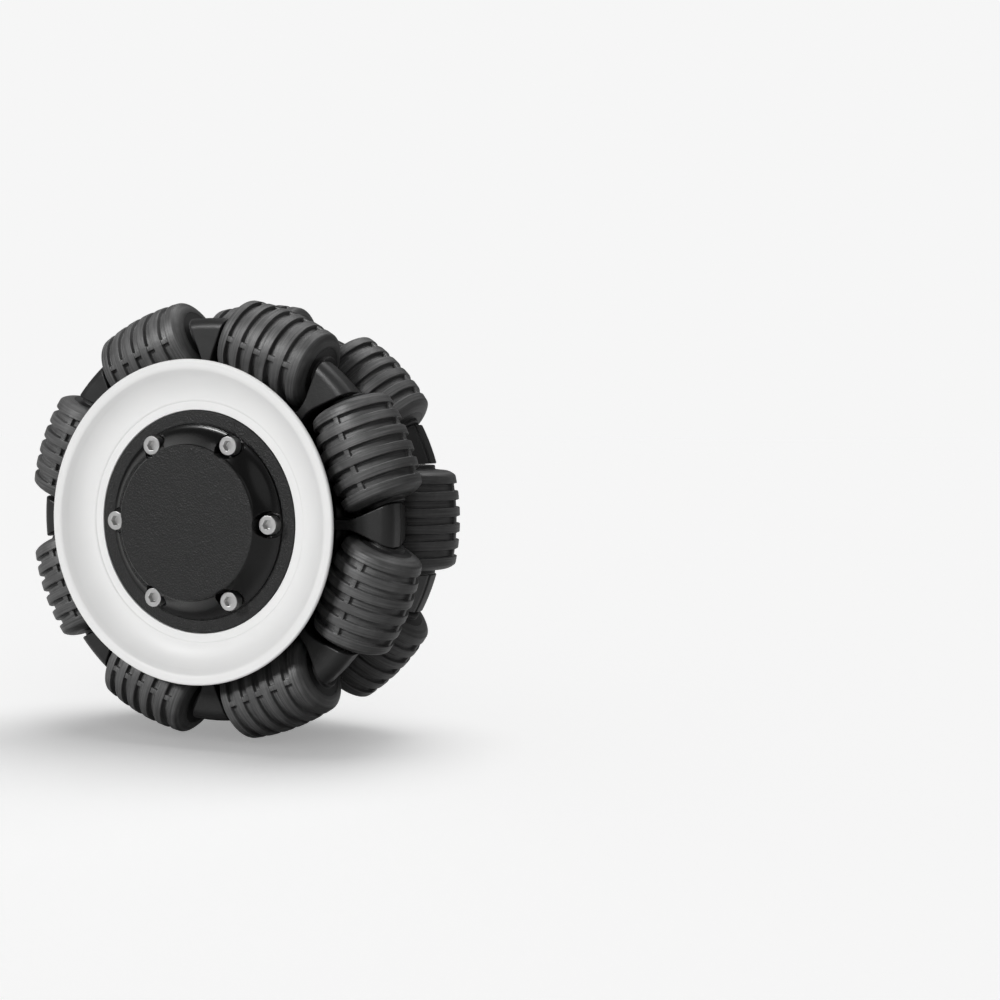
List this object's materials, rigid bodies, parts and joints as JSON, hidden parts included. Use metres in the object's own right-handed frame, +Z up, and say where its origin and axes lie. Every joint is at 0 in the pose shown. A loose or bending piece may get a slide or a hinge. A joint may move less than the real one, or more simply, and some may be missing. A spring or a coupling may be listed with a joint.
{
  "type": "omni wheel",
  "caption": "Double-row omni wheel for a mobile robot: ribbed rubber rollers in black brackets round a bearing hub, white dished trim ring, black cap and a flanged axle.",
  "frame": {"origin": "centre of the wheel, on its axis, midway between the two rows of rollers", "axes": "+Y along the wheel's axis towards the mounting flange at the back, +Z up, so the capped front faces -Y"},
  "size_m": [0.2032, 0.0962, 0.2032],
  "materials": {
    "tread_rubber": "matt moulded rubber, dark grey",
    "core_plastic": "moulded nylon, black",
    "frame_plastic": "glass-filled nylon, near black, fine grain",
    "trim_white": "white painted plastic, satin to gloss",
    "cap_black": "black plastic, spark-eroded grain with a smooth glossy cove",
    "cover_black": "black plastic, fine grain",
    "screw_steel": "bright zinc-plated steel",
    "bright_steel": "turned steel",
    "bearing_steel": "ground bearing steel",
    "plate_steel": "zinc-plated sheet steel",
    "dark_steel": "black-oxide steel",
    "hub_aluminium": "turned aluminium",
    "seal_rubber": "black nitrile rubber"
  },
  "bodies": {
    "axle_unit": {"axle": "bright_steel", "bearing_spacer": "plate_steel", "axle_washer": "bright_steel", "axle_nut": "dark_steel", "front_bearing_inner": "bearing_steel", "rear_bearing_inner": "bearing_steel"},
    "wheel": {"hub": "hub_aluminium", "middle_spacer": "hub_aluminium", "rear_clamp_flange": "hub_aluminium", "clamp_bolts": "dark_steel", "rear_seal": "seal_rubber", "trim_ring": "trim_white", "front_cap": "cap_black", "cap_screws": "screw_steel", "rear_cover": "cover_black", "rear_cover_screws": "dark_steel", "front_outer_frame": "frame_plastic", "front_inner_frame": "frame_plastic", "front_roller_pins": "bright_steel", "front_bearing_outer": "bearing_steel", "front_bearing_balls": "bearing_steel", "front_circlip": "dark_steel", "rear_outer_frame": "frame_plastic", "rear_inner_frame": "frame_plastic", "rear_roller_pins": "bright_steel", "rear_bearing_outer": "bearing_steel", "rear_bearing_balls": "bearing_steel", "rear_circlip": "dark_steel"},
    "front_roller_1": {"front_tread_1": "tread_rubber", "front_core_1": "core_plastic"},
    "front_roller_2": {"front_tread_2": "tread_rubber", "front_core_2": "core_plastic"},
    "front_roller_3": {"front_tread_3": "tread_rubber", "front_core_3": "core_plastic"},
    "front_roller_4": {"front_tread_4": "tread_rubber", "front_core_4": "core_plastic"},
    "front_roller_5": {"front_tread_5": "tread_rubber", "front_core_5": "core_plastic"},
    "front_roller_6": {"front_tread_6": "tread_rubber", "front_core_6": "core_plastic"},
    "front_roller_7": {"front_tread_7": "tread_rubber", "front_core_7": "core_plastic"},
    "front_roller_8": {"front_tread_8": "tread_rubber", "front_core_8": "core_plastic"},
    "rear_roller_1": {"rear_tread_1": "tread_rubber", "rear_core_1": "core_plastic"},
    "rear_roller_2": {"rear_tread_2": "tread_rubber", "rear_core_2": "core_plastic"},
    "rear_roller_3": {"rear_tread_3": "tread_rubber", "rear_core_3": "core_plastic"},
    "rear_roller_4": {"rear_tread_4": "tread_rubber", "rear_core_4": "core_plastic"},
    "rear_roller_5": {"rear_tread_5": "tread_rubber", "rear_core_5": "core_plastic"},
    "rear_roller_6": {"rear_tread_6": "tread_rubber", "rear_core_6": "core_plastic"},
    "rear_roller_7": {"rear_tread_7": "tread_rubber", "rear_core_7": "core_plastic"},
    "rear_roller_8": {"rear_tread_8": "tread_rubber", "rear_core_8": "core_plastic"}
  },
  "joints": [
    {"name": "wheel_spin", "type": "hinge", "parent": "axle_unit", "child": "wheel", "pos_m": [0, 0, 0], "axis": [0, 1, 0], "continuous": true},
    {"name": "front_roller_spin_1", "type": "hinge", "parent": "wheel", "child": "front_roller_1", "pos_m": [0.0753, -0.0193, 0.03119], "axis": [-0.3827, 0, 0.9239], "continuous": true},
    {"name": "front_roller_spin_2", "type": "hinge", "parent": "wheel", "child": "front_roller_2", "pos_m": [0.03119, -0.0193, 0.0753], "axis": [-0.9239, 0, 0.3827], "continuous": true},
    {"name": "front_roller_spin_3", "type": "hinge", "parent": "wheel", "child": "front_roller_3", "pos_m": [-0.03119, -0.0193, 0.0753], "axis": [-0.9239, 0, -0.3827], "continuous": true},
    {"name": "front_roller_spin_4", "type": "hinge", "parent": "wheel", "child": "front_roller_4", "pos_m": [-0.0753, -0.0193, 0.03119], "axis": [-0.3827, 0, -0.9239], "continuous": true},
    {"name": "front_roller_spin_5", "type": "hinge", "parent": "wheel", "child": "front_roller_5", "pos_m": [-0.0753, -0.0193, -0.03119], "axis": [0.3827, 0, -0.9239], "continuous": true},
    {"name": "front_roller_spin_6", "type": "hinge", "parent": "wheel", "child": "front_roller_6", "pos_m": [-0.03119, -0.0193, -0.0753], "axis": [0.9239, 0, -0.3827], "continuous": true},
    {"name": "front_roller_spin_7", "type": "hinge", "parent": "wheel", "child": "front_roller_7", "pos_m": [0.03119, -0.0193, -0.0753], "axis": [0.9239, 0, 0.3827], "continuous": true},
    {"name": "front_roller_spin_8", "type": "hinge", "parent": "wheel", "child": "front_roller_8", "pos_m": [0.0753, -0.0193, -0.03119], "axis": [0.3827, 0, 0.9239], "continuous": true},
    {"name": "rear_roller_spin_1", "type": "hinge", "parent": "wheel", "child": "rear_roller_1", "pos_m": [0.05763, 0.0193, 0.05763], "axis": [-0.7071, 0, 0.7071], "continuous": true},
    {"name": "rear_roller_spin_2", "type": "hinge", "parent": "wheel", "child": "rear_roller_2", "pos_m": [0, 0.0193, 0.0815], "axis": [-1, 0, 0], "continuous": true},
    {"name": "rear_roller_spin_3", "type": "hinge", "parent": "wheel", "child": "rear_roller_3", "pos_m": [-0.05763, 0.0193, 0.05763], "axis": [-0.7071, 0, -0.7071], "continuous": true},
    {"name": "rear_roller_spin_4", "type": "hinge", "parent": "wheel", "child": "rear_roller_4", "pos_m": [-0.0815, 0.0193, 0], "axis": [0, 0, -1], "continuous": true},
    {"name": "rear_roller_spin_5", "type": "hinge", "parent": "wheel", "child": "rear_roller_5", "pos_m": [-0.05763, 0.0193, -0.05763], "axis": [0.7071, 0, -0.7071], "continuous": true},
    {"name": "rear_roller_spin_6", "type": "hinge", "parent": "wheel", "child": "rear_roller_6", "pos_m": [0, 0.0193, -0.0815], "axis": [1, 0, 0], "continuous": true},
    {"name": "rear_roller_spin_7", "type": "hinge", "parent": "wheel", "child": "rear_roller_7", "pos_m": [0.05763, 0.0193, -0.05763], "axis": [0.7071, 0, 0.7071], "continuous": true},
    {"name": "rear_roller_spin_8", "type": "hinge", "parent": "wheel", "child": "rear_roller_8", "pos_m": [0.0815, 0.0193, 0], "axis": [0, 0, 1], "continuous": true}
  ]
}
